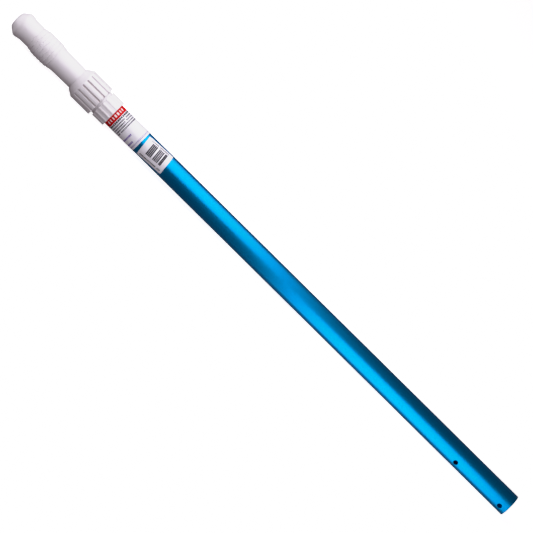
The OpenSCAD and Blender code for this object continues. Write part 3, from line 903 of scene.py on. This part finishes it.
def printMarks(name, ink, values):  # one row or block of marks, on the film
    piece = makePiece(name, bpy.data.meshes.new(name), ink)
    growWith(piece, printing, {
        "Turn": 0.0, "Shift Along": 0.0, "Shift Round": 0.0, "Along Least": 1.0, "Round Least": 1.0,
        "Keep": 1.0, "Thickness": filmSizes["ink"], "Radius": filmR, "Material": ink, **values})
    bakeModifiers(piece, 20)
    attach(piece, "outer_pole")


wrapSizes = {
    "length": wrapEnd - wrapStart, "width": 2 * math.pi * tubeR + 5 * mm,
    "middle": (wrapStart + wrapEnd) / 2, "side": viewSide,
    "turn": 0.0, "corner": 0.0, "ramp": 0.8 * mm, "columns": 288, "rows": 10,
}
wrapLabel = bentFilm("wrapLabel", wrapSizes, whiteVinyl)
finishPiece(wrapLabel, "outer_pole", "label_film", "wrap_label")

# each row: ink, distance from the collar, height, mark length and gap in mm, the angles from the
# view side where it starts and ends, the share of marks kept, and the shortest mark as a share
wrapRows = {
    "redBand": ("red screen ink", 4.25, 8.5, 92.0, 0.0, -165, 165, 1.0, 1.0),
    "redBandMarks": ("white screen ink", 3.9, 4.0, 2.7, 1.7, -62, 60, 1.0, 0.55),
    "boldRow": ("black screen ink", 10.4, 2.5, 2.6, 0.4, -88, 88, 0.97, 0.7),
    "smallRowA": ("black screen ink", 14.0, 1.8, 1.8, 0.35, -88, 88, 0.95, 0.65),
    "smallRowB": ("black screen ink", 17.2, 1.8, 1.8, 0.35, -88, 88, 0.95, 0.65),
    "smallRowC": ("black screen ink", 20.4, 1.8, 1.8, 0.35, -88, 88, 0.95, 0.65),
    "smallRowD": ("black screen ink", 23.6, 1.8, 1.8, 0.35, -88, 80, 0.95, 0.65),
    "violetRowA": ("violet screen ink", 34.0, 2.4, 1.7, 0.3, 8, 95, 1.0, 0.75),
    "violetRowB": ("violet screen ink", 42.0, 2.4, 1.7, 0.3, 26, 95, 1.0, 0.75),
    "dottedRow": ("violet screen ink", 46.6, 2.4, 0.7, 1.2, -165, 165, 1.0, 1.0),
}
for seed, (name, values) in enumerate(wrapRows.items()):
    ink, fromCollar, height, length, gap, first, last, keep, least = values
    arc = math.radians(last - first) * filmR
    whole = name == "redBand"
    count = 1 if whole else int(arc / ((length + gap) * mm))
    printMarks(name, inks[ink], {
        "Along Count": 1, "Round Count": count, "Steps": 140 if whole else 3, "Seed": seed,
        "Along Pitch": 0.0, "Round Pitch": (length + gap) * mm, "Along Size": height * mm,
        "Round Size": arc if whole else length * mm, "Round Least": least, "Keep": keep,
        "Middle": wrapEnd - fromCollar * mm, "Side": math.radians(viewSide - (first + last) / 2),
        "Radius": filmR + (filmSizes["overprint"] if name == "redBandMarks" else 0.0)})

stickerSizes = {
    "length": codeEnd - codeStart, "width": 33 * mm, "middle": (codeStart + codeEnd) / 2,
    "side": viewSide, "turn": 5.5, "corner": 1.5 * mm, "ramp": 1.0 * mm, "columns": 96, "rows": 12,
}
codeSticker = bentFilm("codeSticker", stickerSizes, whiteVinyl)
finishPiece(codeSticker, "outer_pole", "label_film", "code_sticker")
onSticker = {
    "Middle": stickerSizes["middle"], "Side": math.radians(viewSide),
    "Turn": math.radians(stickerSizes["turn"]),
}
codeBars = {  # each block: bars, pitch and widest bar in mm, narrowest share, middle in mm
    "barsNear": (4, 2.15, 1.75, 0.85, 6.8),
    "barsMiddle": (4, 2.15, 1.7, 0.7, -4.1),
    "barsFar": (2, 1.9, 1.7, 0.9, -11.6),
}
for seed, (name, (count, pitch, widest, least, middle)) in enumerate(codeBars.items()):
    printMarks(name, inks["black screen ink"], {**onSticker,
        "Along Count": count, "Round Count": 1, "Steps": 28, "Seed": 3 + 2 * seed,
        "Along Pitch": pitch * mm, "Along Size": widest * mm, "Along Least": least,
        "Round Size": 17.6 * mm, "Shift Along": middle * mm, "Shift Round": -2 * mm})
# each row of digits: marks, height and place across the sticker in mm, and the seed
digitRows = {"digitsLow": (18, 2.4, 12.4, 11), "digitsHigh": (15, 1.8, -13.2, 17)}
for name, (count, height, across, seed) in digitRows.items():
    printMarks(name, inks["black screen ink"], {**onSticker,
        "Along Count": count, "Round Count": 1, "Steps": 3, "Seed": seed, "Along Pitch": 1.9 * mm,
        "Along Size": 1.6 * mm, "Along Least": 0.6, "Round Size": height * mm, "Keep": 0.95,
        "Shift Round": across * mm})

print("stage 6: inner tube and films made")


# pieces carried over from the frame get their own finishes

carried = {
    "mouth_bush": naturalNylon, "slip_ring": naturalNylon, "glide_plug": naturalNylon,
    "glide_ring": naturalNylon, "split_collet": greyAcetal, "plug_pin": turnedStainless,
}
for node, finish in carried.items():
    for holder in frame["nodes"][node].material_slots:
        holder.material = finish


# floor, lights and camera

studio = {
    "floorColour": "#F6F6F7", "floorGlow": 1.1, "floorMiddle": 0.44, "floorHalf": 4,
    "floorGap": 0.02 * mm, "room": 0.125, "roomColour": (1.0, 0.785, 0.86, 1.0),
    "lampColour": (1.0, 0.98, 1.04), "lens": 264.0, "standX": 0.70, "distance": 5.0,
    "lookX": 0.4394, "below": 1.0 * mm, "roll": 44.66,
}
floorPlace = Matrix.Translation((studio["floorMiddle"], 0, -nutR - studio["floorGap"]))
bm = bmesh.new()
bmesh.ops.create_grid(bm, x_segments=8, y_segments=8, size=studio["floorHalf"], matrix=floorPlace)
mesh = bpy.data.meshes.new("floor")
bm.to_mesh(mesh)
bm.free()
paleFloor, tree, surface = startMaterial("pale studio floor", studio["floorColour"], 0.0, 0.9)
surface["Emission Color"].default_value = hexColour("#FFFFFF")
surface["Emission Strength"].default_value = studio["floorGlow"]
floor = makePiece("floor", mesh, paleFloor)
floor.visible_glossy = False
floor.visible_diffuse = False
floor.visible_shadow = False

room = bpy.data.worlds.new("studio")
room.use_nodes = True
room.node_tree.nodes["Background"].inputs["Color"].default_value = studio["roomColour"]
room.node_tree.nodes["Background"].inputs["Strength"].default_value = studio["room"]
bpy.context.scene.world = room

# each softbox: middle along the pole, angle up from +Y, distance, length along the pole, width,
# watts, and the place on the pole that it faces
softboxes = {
    "overGrip": (0.775, 90, 0.45, 0.75, 1.07, 5.0, 0.775),
    "besideOpenEnd": (0.17, -10, 0.28, 0.42, 0.68, 1.65, 0.17),
    "beyondGrip": (1.25, 50, 0.05, 0.3, 0.3, 0.55, 0.86),
}
for name, (x, rise, away, long, wide, watts, faced) in softboxes.items():
    light = bpy.data.lights.new(name, "AREA")
    light.shape, light.size, light.size_y, light.energy = "RECTANGLE", long, wide, watts
    light.color = studio["lampColour"]
    box = bpy.data.objects.new(name, light)
    spot = Vector((x, away * math.cos(math.radians(rise)), away * math.sin(math.radians(rise))))
    shine = (spot - Vector((faced, 0, 0))).normalized()
    side = (Vector((1, 0, 0)) - shine * shine.x).normalized()
    facing = Matrix((side, shine.cross(side), shine)).transposed().to_4x4()
    box.matrix_world = Matrix.Translation(spot) @ facing
    box.visible_camera = False
    bpy.context.scene.collection.objects.link(box)

rise = math.radians(viewSide)
roll = math.radians(studio["roll"])
toCamera = Vector((0, math.cos(rise), math.sin(rise)))
drop = Vector((0, math.sin(rise), -math.cos(rise))) * studio["below"]
spot = Vector((studio["standX"], 0, 0)) + toCamera * studio["distance"] + drop
back = (spot - Vector((studio["lookX"], 0, 0)) - drop).normalized()
level = (Vector((-1, 0, 0)) + back * back.x).normalized()
right = math.cos(roll) * level + math.sin(roll) * back.cross(level)
up = back.cross(right)
camera = bpy.data.objects.new("camera", bpy.data.cameras.new("camera"))
camera.data.lens, camera.data.sensor_width = studio["lens"], 36
camera.matrix_world = Matrix.Translation(spot) @ Matrix((right, up, back)).transposed().to_4x4()
bpy.context.scene.collection.objects.link(camera)
bpy.context.scene.camera = camera

# tones: a soft shoulder under white, so that lit plastic keeps its shape against the floor;
# each pair is a brightness in the scene and the brightness it is shown at
toneCurve = {
    "white": 1.4,
    "points": ((0.5, 0.5), (0.7, 0.72), (0.85, 0.83), (1.0, 0.868), (1.12, 0.882), (1.33, 1.0)),
}
tones = bpy.context.scene.view_settings
tones.view_transform = "Standard"
tones.use_curve_mapping = True
shoulder = tones.curve_mapping
shoulder.white_level = [toneCurve["white"]] * 3
shoulder.extend = "HORIZONTAL"
for seen, shown in toneCurve["points"]:
    shoulder.curves[3].points.new(seen / toneCurve["white"], shown)
shoulder.update()

print("stage 7: studio set")
